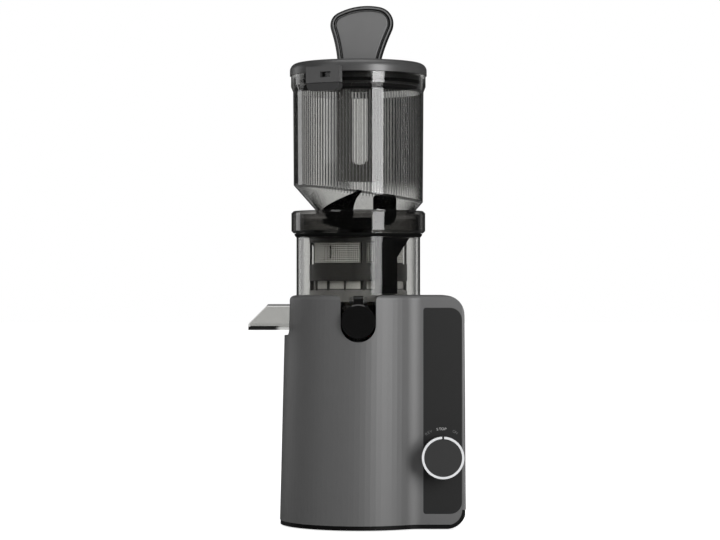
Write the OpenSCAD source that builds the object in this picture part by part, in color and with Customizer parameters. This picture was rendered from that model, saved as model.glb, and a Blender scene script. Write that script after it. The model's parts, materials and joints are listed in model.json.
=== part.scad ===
// Cold press juicer: drive base, juicing bowl with strainer, brush and auger, fluted hopper,
// lid and pusher. Origin on the counter under the bowl axis, +Z up, the front faces -Y.

/* [Housing] */
// Radius of the round drum at the counter
drum_r = 76; // [75:0.5:77]
// Distance of the drum centre to the right of the bowl axis
drum_x = 1.5; // [1:0.25:2]
// Right side of the control block at the counter
block_right = 99.8; // [99:0.2:101]
// Half of the depth of the control block
block_half_depth = 58.5; // [57.5:0.5:59.5]
// Radius of the hollow that runs from the drum into the control block
blend_r = 26; // [22:1:30]
// Height of the housing top above the counter
housing_top = 217.5; // [217:0.5:219]
// Wall thickness of the housing moulding
housing_wall = 3.2; // [2.8:0.1:3.4]
// Part of the width that the draft takes away over the whole height
draft = 0.039; // [0.03:0.001:0.045]

/* [Bowl] */
// Outer radius of the juicing bowl
bowl_r = 58.8; // [58.5:0.1:59]
// Underside of the bowl skirt
bowl_bottom = 175.4; // [175.4:0.1:175.8]
// Top of the bowl floor
bowl_floor = 211; // [211:0.1:211.2]
// Top of the bowl rim inside the collar
bowl_rim = 289; // [287:0.5:290]
// Height of the juice spout axis
spout_z = 193.5; // [193:0.5:194]
// Radius of the juice spout bore
spout_bore = 8; // [7:0.5:9]

/* [Hopper] */
// Outer radius of the hopper wall at its top
hopper_r = 62.1; // [61.9:0.1:62.3]
// Height of the hopper mouth
hopper_top = 425; // [424:0.5:425]
// Outer radius of the dark collar under the hopper
collar_r = 63.6; // [63:0.2:64]
// Offset of the funnel and its neck to the right of the bowl axis
funnel_x = 7; // [6:0.5:7.5]
// Outer radius of the funnel neck
neck_r = 47.5; // [47:0.25:48]
// Number of upright flutes inside the hopper wall
flutes = 120; // [96:4:132]
// Outer radius of the lid
lid_r = 65; // [64.6:0.2:65.4]

/* [Juicing set] */
// Largest radius of the auger flights
auger_r = 38.3; // [37:0.1:38.6]
// Outer radius of the strainer
strainer_r = 42.5; // [42.3:0.1:42.7]
// Outer radius of the rotating brush cage
cage_r = 46.4; // [46:0.1:46.6]
// Number of upright ribs of the brush cage
cage_ribs = 16; // [12:4:20]
// Turns of each auger flight
flight_turns = 1.4; // [1:0.1:1.8]

/* [Gears] */
// Module of the gears in the gearbox
box_module = 1.25; // [1.25]
// Module of the gears that drive the brush
brush_module = 1.5; // [1.5]
// Flank clearance of each meshing pair
backlash = 0.55; // [0.4:0.05:0.6]
// Pressure angle of all gears
pressure_angle = 25; // [20:1:25]

/* [Knob] */
// Radius of the rotary knob
knob_r = 19.5; // [18.5:0.5:20]
// Height of the knob axis
knob_z = 68.5; // [66:0.5:80]
// How far the knob front stands before the drum centre
knob_front = 80.5; // [78:0.5:82]

/* [Hidden] */
$fn = 96;
eps = 0.01;

// rest clearance between pieces that move against each other, and the clearance of a running fit
gap = 0.4;
fit = 0.05;

// base
feet_height = 1.2;
base_top = 5.3;
draft_x = 61.35;
edge_r = 2;
top_round = 4;
inner_wall_y = block_half_depth - housing_wall;

// right corners of the block: round above, and a black wrap below
upper_corner_r = 18;
lower_corner_r = 17.8;
wrap_thickness = 3.6;
wrap_top = feet_height + lower_corner_r;
cover_inset = 0.6;

// seat of the bowl
well_r = 61.5;
deck_top = 175;
deck_thickness = 4;
deck_bottom = deck_top - deck_thickness;
flange_bottom = deck_bottom - 3;

// notches of the housing for the spout and the pulp chute
notch_half = 16.3;
notch_z = 190.5;
notch_flare = 5;
chute_notch_half = 27.5;
chute_notch_z = 179.5;

// control fascia
fascia_x = [60.2, 96];
fascia_z = [15.2, 206];
fascia_depth = 1.8;
knob_x = 77.8;
knob_back = block_half_depth + 0.7;

// motor and gearbox heights, from the counter up
pad_z = 12;
cap_z = 15;
can_z = 22;
can_top = 98;
ring_z = 108;
ring_top = 128;
gear_z = [112, 124];
carrier_z = [124.6, 129.6];
case_top = 132;
cover_top = 136;
shaft_r = 4;
output_r = 8;
hex_z = [178, 207];
hex_across = 12;

// gear tooth counts
sun_teeth = 12;
planet_teeth = 18;
ring_teeth = sun_teeth + 2 * planet_teeth;
planet_distance = box_module * (sun_teeth + planet_teeth) / 2;
auger_teeth = 20;
idler_teeth = 12;
brush_teeth = auger_teeth + 2 * idler_teeth;
idler_distance = brush_module * (auger_teeth + idler_teeth) / 2;
addendum = 0.75;
dedendum = 1.05;

// heights in the bowl
floor_bottom = bowl_floor - 3;
bowl_in = 55;
ledge_z = 272;
train_z = bowl_floor + 1;
train_top = bowl_floor + 6.4;
strainer_z = bowl_floor + 8;
strainer_floor = strainer_z + 3;
strainer_windows = [[223.5, 245.5], [248, 268]];
strainer_wall = 1.4;
// turn of the ribs of strainer and brush cage about the bowl axis
rib_turn = 6.7;
journal_r = 10.5;
journal_z = 194;

// spout cap hinge
hinge_y = -71;
hinge_z = 211.5;
cap_front = -80;
cap_back = -75.5;
spout_mouth = -72;

// pulp chute
chute_half = 21.5;
chute_z = [184.7, 209];
chute_wall = 2.5;
chute_tip = -103.5;
chute_lip_z = 190.5;
pulp_hole = [[-28, -7], [-18.7, 7]];

// hopper
collar_z = [276, 297];
neck_z = 297.8;
funnel_slope = 0.88;
bore_r = 59.5;
flute_depth = 0.9;
flute_top = 409;
funnel_wall = 3.4;
ring_r = 64;
ring_low = 415;
ring_chamfer = 5;
skirt_r = 58.6;

// lid, its snap tab and the pusher
lid_z = [hopper_top + gap, 437];
lid_round = 7;
tab_angle = -119;
tab_z = [414.6, 429.6];
catch_z = 406.9;
stem_x = 1.2;
stem_size = [43, 12];
stem_z = [325, lid_z[1] + gap];
slot_w = 16.6;
slot_z = [341, 424];
handle_half = 7.5;

// ---------------------------------------------------------------- shared shapes

function arc(c, r, a0, a1, n) =
    [for (i = [0:n]) let (a = a0 + (a1 - a0) * i / n) [c.x + r * cos(a), c.y + r * sin(a)]];

function bezier(p, q, r, n) =
    [for (i = [0:n]) let (t = i / n) (1 - t) * (1 - t) * p + 2 * t * (1 - t) * q + t * t * r];

module rod(r, z0, z1) {
    translate([0, 0, z0]) cylinder(r = r, h = z1 - z0);
}

module cone(r0, r1, z0, z1) {
    translate([0, 0, z0]) cylinder(r1 = r0, r2 = r1, h = z1 - z0);
}

module tube(r_out, r_in, z0, z1) {
    difference() {
        rod(r_out, z0, z1);
        rod(r_in, z0 - 1, z1 + 1);
    }
}

module box(low, high) {
    translate(low) cube(high - low);
}

// a flat outline in X and Z, drawn out from y0 back to y1
module from_front(y0, y1) {
    translate([0, y1, 0]) rotate([90, 0, 0]) linear_extrude(y1 - y0) children();
}

// a turned shape whose axis points along Y: the profile gives [radius, distance in front]
module turned_from_front(profile) {
    rotate([90, 0, 0]) rotate_extrude() polygon(profile);
}

module around(count, start = 0) {
    for (i = [0:count - 1]) rotate([0, 0, start + 360 * i / count]) children();
}

// a solid through rings of equal point count, listed from the bottom up
module loft(rings) {
    n = len(rings[0]);
    m = len(rings);
    floor_face = [for (i = [0:n - 1]) i];
    top_face = [for (i = [n - 1:-1:0]) (m - 1) * n + i];
    sides = [for (j = [0:m - 2], i = [0:n - 1])
        [j * n + i, (j + 1) * n + i, (j + 1) * n + (i + 1) % n, j * n + (i + 1) % n]];
    polyhedron(points = [for (ring = rings) each ring], faces = concat([floor_face, top_face], sides));
}

// ---------------------------------------------------------------- gears

// outline of a gear with one tooth on +X; each point of a flank is [height over the pitch circle, side].
// An outer gear's flanks run straight to the centre below the pitch circle.
function gear_points(teeth, m, flank, play, radial) =
    [for (i = [0:teeth - 1], p = flank)
        let (pitch_r = m * teeth / 2,
             r = pitch_r + p[0],
             inward = radial && p[0] < 0,
             half = PI * m / 4 - play / 2 - (inward ? 0 : p[0] * tan(pressure_angle)),
             a = 360 * i / teeth + p[1] * half / (inward ? pitch_r : r) * 180 / PI)
        [r * cos(a), r * sin(a)]];

module gear(teeth, m, z0, z1) {
    add = addendum * m;
    ded = dedendum * m;
    translate([0, 0, z0]) linear_extrude(z1 - z0)
        polygon(gear_points(teeth, m, [[-ded, -1], [0, -1], [add, -1], [add, 1], [0, 1], [-ded, 1]],
            backlash / 2, true));
}

// the space inside a ring gear, with a ring tooth on +X
module gear_space(teeth, m, z0, z1) {
    add = dedendum * m;
    ded = addendum * m;
    rotate([0, 0, 180 / teeth]) translate([0, 0, z0]) linear_extrude(z1 - z0)
        polygon(gear_points(teeth, m, [[-ded, -1], [add, -1], [add, 1], [-ded, 1]], -backlash / 2, false));
}

// ---------------------------------------------------------------- housing form

// plan of the housing: the round drum runs through a hollow curve into the flat control block
function plan(inset) =
    let (r = drum_r - inset,
         b = blend_r + inset,
         y = block_half_depth - inset,
         right = block_right - inset,
         c = max(edge_r - inset, 0.5),
         bx = drum_x + sqrt((r + b) * (r + b) - (y + b) * (y + b)),
         a = asin((y + b) / (r + b)))
    concat(
        arc([drum_x, 0], r, a, 360 - a, 64),
        arc([bx, -y - b], b, 180 - a, 90, 10),
        arc([right - c, -y + c], c, -90, 0, 3),
        arc([right - c, y - c], c, 0, 90, 3),
        arc([bx, y + b], b, -90, a - 180, 10));

function plan_ring(inset, z) =
    let (k = 1 - draft * z / housing_top)
    [for (p = plan(inset)) [draft_x + k * (p.x - draft_x), p.y, z]];

module form(inset, z0, z1) {
    loft([plan_ring(inset, z0), plan_ring(inset, z1)]);
}

module form_with_round_top(z0, z1) {
    loft(concat([plan_ring(0, z0)],
        [for (a = [0:22.5:90]) plan_ring(top_round * (1 - cos(a)), z1 - top_round + top_round * sin(a))]));
}

// what lies outside a rounded upper right corner, as seen from the front
module outside_upper_corner(r, inset) {
    cx = block_right - draft * (block_right - draft_x) - upper_corner_r;
    cz = housing_top - upper_corner_r;
    difference() {
        box([cx, -100, cz], [cx + 40, 100, cz + 40]);
        translate([cx, 0, cz]) rotate([90, 0, 0]) cylinder(r = r - inset, h = 220, center = true);
    }
}

// what lies outside a rounded lower right corner of radius r
module outside_lower_corner(r) {
    cx = block_right - lower_corner_r;
    difference() {
        box([cx, -100, wrap_top - 40], [cx + 40, 100, wrap_top]);
        translate([cx, 0, wrap_top]) rotate([90, 0, 0]) cylinder(r = r, h = 220, center = true);
    }
}

// outline of a notch that is open at the top: round lower corners and flared upper edges
function notch_outline(half, z, r, flare) =
    let (above = housing_top + 1, edge = housing_top - flare)
    concat(
        [[half + flare, above]],
        arc([half + flare, edge], flare, 90, 180, 8),
        arc([half - r, z + r], r, 0, -90, 12),
        arc([r - half, z + r], r, -90, -180, 12),
        arc([-half - flare, edge], flare, 0, 90, 8),
        [[-half - flare, above]]);

function fascia_outline(inset) =
    let (x0 = fascia_x[0] + inset, x1 = fascia_x[1] - inset,
         z0 = fascia_z[0] + inset, z1 = fascia_z[1] - inset, small = 2.4, large = 11)
    concat(
        arc([x1 - large, z1 - large], large, 0, 90, 8),
        arc([x0 + small, z1 - small], small, 90, 180, 4),
        arc([x0 + small, z0 + small], small, 180, 270, 4),
        arc([x1 - large, z0 + large], large, 270, 360, 8));

boss_places = [[-47, -46], [-47, 46], [75.5, -50.5], [75.5, 50.5]];
foot_places = [[-40, -34], [-40, 34], [72, -38], [72, 38]];
vent_rows = 8;

module housing() {
    color([0.36, 0.36, 0.37])
    difference() {
        union() {
            difference() {
                form_with_round_top(base_top, housing_top);
                outside_upper_corner(upper_corner_r, 0);
                housing_hollow();
            }
            screw_bosses();
        }
        outside_lower_corner(lower_corner_r - wrap_thickness);
        rod(well_r, deck_bottom, housing_top + 1);
        rod(well_r - 5, flange_bottom - 1, deck_bottom + 1);
        from_front(-100, -40) polygon(notch_outline(notch_half, notch_z - notch_half, notch_half - 0.2, notch_flare));
        rotate([0, 0, -90]) from_front(-100, -40)
            polygon(notch_outline(chute_notch_half, chute_notch_z, 6, notch_flare));
        from_front(-80, -block_half_depth + fascia_depth) polygon(fascia_outline(0));
        translate([knob_x, 0, knob_z]) from_front(-80, -40) circle(5);
        for (p = boss_places) translate([p.x, p.y, 0]) rod(1.6, base_top - 1, 19.5);
        rear_vents();
        translate([70, 50, 28]) rotate([-90, 0, 0]) cylinder(r = 6, h = 20);
    }
}

// open from below; above the deck only the control block is hollow
module housing_hollow() {
    difference() {
        form(housing_wall, base_top - 1, housing_top + 5);
        box([-100, -100, housing_top - housing_wall], [120, 100, housing_top + 6]);
        outside_lower_corner(lower_corner_r - wrap_thickness - housing_wall);
        outside_upper_corner(upper_corner_r, housing_wall + 0.4);
        rod(well_r + 7, flange_bottom, housing_top);
        box([-100, -100, flange_bottom], [60, 100, housing_top]);
    }
}

module screw_bosses() {
    intersection() {
        for (p = boss_places) translate([p.x, p.y, 0]) rod(6, base_top, 21);
        form(1, base_top, 30);
    }
}

module rear_vents() {
    for (i = [0:vent_rows - 1]) translate([64, 50, 70 + 7 * i]) cube([26, 20, 3]);
}

module base_cover() {
    color([0.06, 0.06, 0.06])
    difference() {
        union() {
            difference() {
                form(cover_inset, feet_height, wrap_top + 4);
                difference() {
                    box([-100, -100, base_top], [120, 100, wrap_top + 5]);
                    outside_lower_corner(lower_corner_r - wrap_thickness);
                }
                outside_lower_corner(lower_corner_r);
            }
            difference() {
                form(housing_wall + 0.2, base_top - 1, base_top + 7);
                form(housing_wall + 2.2, base_top - 2, base_top + 8);
                box([-100, -100, base_top + 4], [120, 100, base_top + 9]);
                box([76, -100, 0], [110, 100, 20]);
                for (p = boss_places) translate([p.x, p.y, 0]) rod(6.4, 0, 20);
            }
            tube(34, 26, base_top - 1, pad_z);
        }
        for (p = foot_places) translate([p.x, p.y, 0]) rod(9, 0, 3);
        for (p = boss_places) translate([p.x, p.y, 0]) {
            rod(1.6, 0, 10);
            rod(3.4, 0, 3.2);
        }
        for (i = [-3:3]) translate([-12.5, 8 * i - 1.5, 0]) cube([25, 3, 20]);
    }
}

module feet() {
    color([0.1, 0.1, 0.1])
    for (p = foot_places) translate([p.x, p.y, 0]) {
        cone(8.2, 9, 0, feet_height);
        rod(9, feet_height, 3);
    }
}

module case_screws() {
    color("silver")
    for (p = boss_places) translate([p.x, p.y, 0]) difference() {
        union() {
            rod(1.6, 3, 18);
            rod(3.2, 1.5, 3.2);
        }
        box([-2.4, -0.4, 1], [2.4, 0.4, 2.2]);
    }
}

module control_fascia() {
    color([0.12, 0.12, 0.12])
    difference() {
        from_front(-block_half_depth, -block_half_depth + fascia_depth) polygon(fascia_outline(0));
        translate([knob_x, 0, knob_z]) from_front(-80, -40) circle(5);
    }
}

// ---------------------------------------------------------------- seat of the bowl

module seat_deck() {
    color([0.16, 0.16, 0.17])
    difference() {
        union() {
            rod(well_r, deck_bottom, deck_top);
            cone(21, 20, deck_top - eps, deck_top + 3);
            around(3, 30) translate([40, 0, 0]) rod(3, deck_top - eps, deck_top + 5);
        }
        rod(16, deck_bottom - 1, deck_top + 10);
    }
}

module shaft_seal() {
    color([0.55, 0.12, 0.1])
    difference() {
        union() {
            rod(16, deck_bottom, deck_top + 3);
            cone(13, 10, deck_top + 3 - eps, deck_top + 6);
        }
        rod(output_r + fit, deck_bottom - 1, deck_top + 10);
    }
}

module reed_switch() {
    color([0.1, 0.35, 0.2])
    rotate([0, 0, 36]) translate([51.5, 0, 0]) box([-2.5, -7, deck_bottom - 4], [2.5, 7, deck_bottom]);
}

// ---------------------------------------------------------------- motor

module motor_pad() {
    color([0.15, 0.15, 0.15]) tube(34, 26, pad_z, cap_z);
}

module motor_end_cap() {
    color([0.7, 0.7, 0.72])
    difference() {
        rod(44, cap_z, can_z);
        rod(9, cap_z - 1, can_z + 1);
        around(6, 30) translate([24, 0, 0]) rod(5.5, cap_z - 1, can_z + 1);
    }
}

module motor_can() {
    color([0.6, 0.61, 0.63])
    difference() {
        rod(44, can_z, can_top);
        rod(41.5, can_z - 1, can_top - 3);
        rod(9, can_top - 10, can_top + 1);
        around(8, 22.5) translate([41, 0, can_top - 12]) rotate([0, 90, 0]) cylinder(r = 4, h = 10);
    }
}

module stator_core() {
    color([0.45, 0.45, 0.48])
    difference() {
        rod(41.5, 36, 84);
        rod(27.5, 35, 85);
        around(12) translate([31, -2, 35]) cube([7, 4, 50]);
    }
}

module stator_coils() {
    color([0.72, 0.4, 0.18])
    for (z = [30, 84]) tube(39, 30.5, z, z + 6);
}

module motor_bearings() {
    color([0.75, 0.6, 0.35]) {
        tube(9, shaft_r + fit, cap_z, can_z);
        tube(9, shaft_r + fit, can_top - 6, can_top);
    }
}

module rotor_core() {
    color([0.5, 0.5, 0.53])
    difference() {
        rod(27, 38, 82);
        rod(shaft_r, 37, 83);
        around(8) translate([18, 0, 0]) rod(2.5, 37, 83);
    }
}

module motor_shaft() {
    color([0.8, 0.8, 0.82]) {
        rod(shaft_r, cap_z + 1, gear_z[0]);
        gear(sun_teeth, box_module, gear_z[0] - eps, gear_z[1]);
    }
}

module cooling_fan() {
    color([0.2, 0.2, 0.22])
    difference() {
        union() {
            rod(8, 24, 34);
            rod(24, 24, 25.5);
            around(9) rotate([0, 0, 10]) translate([6, -0.8, 25.5 - eps]) cube([18, 1.6, 7]);
        }
        rod(shaft_r, 23, 35);
    }
}

// ---------------------------------------------------------------- gearbox

module gearbox_case() {
    color([0.25, 0.25, 0.27])
    difference() {
        rod(40, can_top, case_top);
        rod(32, can_top + 4, case_top + 1);
        rod(34.5, ring_z, case_top + 1);
        rod(12, can_top - 1, can_top + 5);
        around(4, 45) translate([37.2, 0, 0]) rod(1.5, case_top - 8, case_top + 1);
    }
}

module ring_gear() {
    color([0.85, 0.82, 0.72])
    difference() {
        rod(34.5, ring_z, ring_top);
        gear_space(ring_teeth, box_module, ring_z - 1, ring_top + 1);
    }
}

module gearbox_cover() {
    color([0.25, 0.25, 0.27])
    difference() {
        union() {
            rod(40, case_top, cover_top);
            rod(34.5, ring_top, case_top);
            rod(15, cover_top - eps, cover_top + 12);
            around(4) translate([30, 0, 0]) rod(5, cover_top - eps, deck_bottom);
        }
        rod(30, ring_top - 1, case_top);
        rod(11, case_top - 1, cover_top + 13);
        around(4, 45) translate([37.2, 0, 0]) rod(1.5, case_top - 1, cover_top + 1);
    }
}

module gearbox_screws() {
    color("silver")
    around(4, 45) translate([37.2, 0, 0]) {
        rod(1.5, case_top - 8, cover_top);
        rod(2.7, cover_top, cover_top + 2);
    }
}

module screws() {
    case_screws();
    gearbox_screws();
}

module output_bush() {
    color([0.75, 0.6, 0.35]) tube(11, output_r + fit, case_top, cover_top + 12);
}

module planet_carrier() {
    color([0.7, 0.7, 0.72]) {
        rod(26, carrier_z[0], carrier_z[1]);
        around(3) translate([planet_distance, 0, 0]) {
            rod(3, gear_z[0] - gap, carrier_z[0] + eps);
            rod(4.2, gear_z[0] - gap - 1.2, gear_z[0] - gap);
        }
    }
}

module planet_gear(angle) {
    color([0.88, 0.86, 0.78])
    rotate([0, 0, angle]) translate([planet_distance, 0, 0]) difference() {
        rotate([0, 0, 180 / planet_teeth]) gear(planet_teeth, box_module, gear_z[0], gear_z[1]);
        rod(3 + fit, gear_z[0] - 1, gear_z[1] + 1);
    }
}

module planet_gear_a() {
    planet_gear(0);
}

module planet_gear_b() {
    planet_gear(120);
}

module planet_gear_c() {
    planet_gear(240);
}

module hexagon(across, z0, z1) {
    translate([0, 0, z0]) cylinder(d = across / cos(30), h = z1 - z0, $fn = 6);
}

module drive_shaft() {
    color([0.8, 0.8, 0.82]) {
        rod(output_r, carrier_z[1], hex_z[0]);
        hexagon(hex_across, hex_z[0] - eps, hex_z[1]);
    }
}

// ---------------------------------------------------------------- controls

module board_standoffs() {
    color([0.8, 0.78, 0.7])
    for (x = [67, 91], z = [104, 186])
        translate([x, -inner_wall_y, z]) rotate([-90, 0, 0]) cylinder(r = 3, h = 9);
}

module control_board() {
    y = -inner_wall_y + 9;
    color([0.1, 0.35, 0.2]) {
        box([64, y, 100], [94, y + 1.6, 190]);
        box([70, y + 1.6 - eps, 150], [88, y + 16, 168]);
        for (x = [73, 85]) translate([x, y + 1.6 - eps, 128]) rotate([-90, 0, 0]) cylinder(r = 5, h = 18);
    }
}

module rotary_switch() {
    color([0.2, 0.2, 0.22])
    difference() {
        union() {
            translate([knob_x, 0, knob_z]) from_front(-inner_wall_y, -37) square(24, center = true);
            translate([knob_x, 0, knob_z]) from_front(-block_half_depth, -inner_wall_y + eps) circle(5);
        }
        translate([knob_x, 0, knob_z]) from_front(-90, -40) circle(3 + fit);
    }
}

module knob_shaft() {
    color("silver")
    translate([knob_x, 0, knob_z]) from_front(-knob_front + 4, -42) circle(3);
}

module knob() {
    front = knob_front - 0.5;
    color([0.2, 0.2, 0.2])
    difference() {
        translate([knob_x, 0, knob_z])
            turned_from_front([[0, knob_back], [knob_r - 0.6, knob_back], [knob_r - 0.1, front - 1.6],
                [knob_r - 0.6, front], [0, front]]);
        translate([knob_x, 0, knob_z]) from_front(-knob_front + 4, -50) circle(3);
        ring_track();
    }
}

module ring_track() {
    translate([knob_x, 0, knob_z]) from_front(-knob_front, -knob_front + 1.6) difference() {
        circle(knob_r);
        circle(knob_r - 2.1);
    }
}

module knob_ring() {
    color([0.9, 0.9, 0.92])
    difference() {
        ring_track();
        box([knob_x - 0.95, -90, knob_z], [knob_x + 0.95, -50, knob_z + 30]);
    }
}

module cord_gland() {
    color([0.08, 0.08, 0.08])
    translate([70, 0, 28]) difference() {
        union() {
            translate([0, inner_wall_y - 3, 0]) rotate([-90, 0, 0]) cylinder(r = 6, h = 8.2);
            translate([0, block_half_depth, 0]) rotate([-90, 0, 0]) cylinder(r1 = 9, r2 = 7, h = 5);
        }
        translate([0, 40, 0]) rotate([-90, 0, 0]) cylinder(r = 3.6, h = 40);
    }
}

// ---------------------------------------------------------------- juicing bowl

module smoky() {
    color([0.35, 0.35, 0.36, 0.5]) children();
}

module chute_body() {
    from_front(-chute_half, chute_half) polygon([
        [-16.5, chute_z[0]], [chute_tip, chute_z[0]], [chute_tip, chute_lip_z],
        [chute_tip + chute_z[1] - chute_lip_z, chute_z[1]], [-16.5, chute_z[1]]]);
}

module pulp_drop() {
    box([pulp_hole[0].x, pulp_hole[0].y, 200], [pulp_hole[1].x, pulp_hole[1].y, bowl_floor + 1]);
}

// the bowl is welded up from four mouldings: pot, base ring, pulp chute and juice spout
module juice_bowl() {
    smoky() difference() {
        union() {
            rotate_extrude() polygon([
                [0, floor_bottom], [bowl_r, floor_bottom], [bowl_r, bowl_rim - 1], [bowl_r - 0.6, bowl_rim],
                [56.8, bowl_rim], [56.8, ledge_z], [bowl_in, ledge_z], [bowl_in, bowl_floor], [0, bowl_floor]]);
            rod(17, journal_z - 1, bowl_floor - eps);
            translate([idler_distance, 0, 0]) rod(6, floor_bottom - 4, floor_bottom + eps);
        }
        pulp_drop();
        translate([0, -46, 0]) rod(6.5, spout_z, bowl_floor + 1);
        rod(13.5, journal_z - 5, bowl_floor + 1);
        translate([idler_distance, 0, 0]) rod(3, floor_bottom - 3, bowl_floor + 1);
    }
}

module bowl_base() {
    magnet = [51.5, 0, 0];
    smoky() difference() {
        union() {
            tube(bowl_r, bowl_in, bowl_bottom, floor_bottom);
            rotate([0, 0, 36]) translate(magnet) rod(6, bowl_bottom, 183);
        }
        box([-bowl_r - 1, -chute_half, chute_z[0]], [-bowl_in + 12, chute_half, floor_bottom + 1]);
        translate([0, 0, spout_z]) from_front(-bowl_r - 1, -40) circle(12);
        translate([0, -46, 0]) rod(10, spout_z, floor_bottom + 1);
        rotate([0, 0, 36]) translate(magnet) rod(4, bowl_bottom - 1, bowl_bottom + 4);
    }
}

module pulp_chute() {
    side = chute_half - chute_wall;
    smoky() difference() {
        chute_body();
        box([chute_tip - 10, -side, chute_z[0] + chute_wall], [-18.5, side, chute_z[1] - chute_wall]);
        rod(bowl_r, floor_bottom, chute_z[1] + 1);
        rod(17, chute_z[0] - 1, chute_z[1] + 1);
        pulp_drop();
    }
}

module juice_spout() {
    smoky() difference() {
        union() {
            translate([0, 0, spout_z]) from_front(spout_mouth, -38) circle(12);
            translate([0, -46, 0]) rod(10, spout_z - 6, floor_bottom);
            for (s = [-1, 1]) {
                translate([s * 6.6, hinge_y, hinge_z]) rotate([0, 90, 0]) cylinder(r = 4, h = 2.8, center = true);
                box([s * 6.6 - 1.4, spout_mouth, spout_z + 6], [s * 6.6 + 1.4, hinge_y + 4, hinge_z]);
            }
        }
        translate([0, 0, spout_z]) from_front(spout_mouth - 1, -46) circle(spout_bore);
        translate([0, -46, 0]) rod(6.5, spout_z, floor_bottom + 1);
        translate([0, hinge_y, hinge_z]) rotate([0, 90, 0]) cylinder(r = 1.5, h = 30, center = true);
    }
}

module bowl_bush() {
    color([0.9, 0.88, 0.82])
    difference() {
        union() {
            rod(13.5, journal_z - 1, bowl_floor);
            rod(14.5, bowl_floor, bowl_floor + 0.6);
        }
        rod(journal_r + fit, journal_z - 2, bowl_floor + 2);
    }
}

module idler_pin() {
    color("silver")
    translate([idler_distance, 0, 0]) {
        rod(3, floor_bottom - 3, train_top + 0.2);
        rod(4.5, bowl_floor, train_z - gap);
    }
}

module interlock_magnet() {
    color([0.3, 0.3, 0.32])
    rotate([0, 0, 36]) translate([51.5, 0, 0]) rod(4, bowl_bottom, bowl_bottom + 4);
}

module rim_seal() {
    color([0.03, 0.03, 0.03])
    rotate_extrude() polygon([[bowl_r, 272.4], [59.3, 272.4], [60.6, 274.4], [60.6, 275.6], [bowl_r, 275.6]]);
}

module cap_pin() {
    color("silver")
    translate([0, hinge_y, hinge_z]) rotate([0, 90, 0]) cylinder(r = 1.5, h = 16, center = true);
}

module juice_cap() {
    color([0.05, 0.05, 0.05])
    difference() {
        union() {
            translate([0, 0, spout_z]) turned_from_front([[0, -cap_back], [15.8, -cap_back],
                [15.8, -cap_front - 1.2], [14.6, -cap_front], [0, -cap_front]]);
            difference() {
                translate([0, 0, spout_z]) from_front(cap_back - eps, hinge_y) difference() {
                    circle(15.8);
                    circle(13.2);
                }
                box([-9.5, cap_back, spout_z + 6], [9.5, hinge_y + 1, hinge_z + 5]);
            }
            translate([0, hinge_y, hinge_z]) rotate([0, 90, 0]) cylinder(r = 5.5, h = 9.2, center = true);
            box([-4.6, -78.5, spout_z + 8], [4.6, hinge_y - 2, hinge_z]);
        }
        translate([0, hinge_y, hinge_z]) rotate([0, 90, 0]) cylinder(r = 1.5 + fit, h = 30, center = true);
        box([-9.5, cap_back, spout_z + 6], [9.5, hinge_y + 8, spout_z + 12 + gap]);
    }
}

module cap_gasket() {
    color([0.3, 0.3, 0.3])
    translate([0, 0, spout_z]) from_front(cap_back, spout_mouth - gap) circle(11);
}

// ---------------------------------------------------------------- strainer

// a wall of the strainer between two angles of the plan
module wall_sector(r, thickness, z0, z1, from, to) {
    rotate([0, 0, from]) rotate_extrude(angle = to - from) translate([r - thickness, z0]) square([thickness, z1 - z0]);
}

module strainer_frame() {
    lug = [[pulp_hole[0].x - 1.5, pulp_hole[0].y - 1.5], [pulp_hole[1].x + 1.5, pulp_hole[1].y + 1.5]];
    color([0.2, 0.2, 0.2])
    difference() {
        union() {
            tube(strainer_r, 17.8, strainer_z, strainer_floor);
            difference() {
                tube(strainer_r, strainer_r - strainer_wall, strainer_floor - eps, ledge_z);
                for (z = strainer_windows) around(4, rib_turn + 4)
                    wall_sector(strainer_r + 1, 1 + strainer_wall + 0.1, z[0], z[1], 0, 82);
            }
            tube(56.4, strainer_r - 2, ledge_z, ledge_z + 3);
            box([lug[0].x, lug[0].y, bowl_floor], [lug[1].x, lug[1].y, strainer_floor - eps]);
            around(6, 15) translate([strainer_r - 2.8, -1, strainer_floor - eps]) cube([2, 2, ledge_z - strainer_floor]);
        }
        box([pulp_hole[0].x, pulp_hole[0].y, bowl_floor - 1], [pulp_hole[1].x, pulp_hole[1].y, strainer_floor + 1]);
    }
}

// the steel sheet fills the windows, and has a row of upright slots
module strainer_mesh() {
    slot_z = [251, 264];
    color([0.7, 0.7, 0.7])
    difference() {
        for (z = strainer_windows) around(4, rib_turn + 4)
            wall_sector(strainer_r - 0.3, 0.5, z[0], z[1], 0, 82);
        around(cage_ribs, rib_turn) translate([strainer_r - 3, -0.7, slot_z[0]]) cube([5, 1.4, slot_z[1] - slot_z[0]]);
    }
}

// ---------------------------------------------------------------- brush

module brush_gear() {
    color([0.3, 0.3, 0.3])
    difference() {
        rod(42, bowl_floor + gap, train_top);
        gear_space(brush_teeth, brush_module, bowl_floor, train_top + 1);
    }
}

module brush_cage() {
    inner = cage_r - 2.2;
    color([0.22, 0.21, 0.2]) {
        tube(cage_r, 42, bowl_floor + gap, train_top);
        tube(cage_r, inner, train_top - eps, 222);
        tube(cage_r, inner, 230.7, 246.6);
        tube(cage_r, inner, 267, ledge_z - gap);
        around(cage_ribs, rib_turn) translate([inner, -0.9, 221]) cube([1.9, 1.8, 10.5]);
        around(4, rib_turn) translate([inner, -1.6, 246]) cube([1.9, 3.2, 22]);
    }
}

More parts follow.
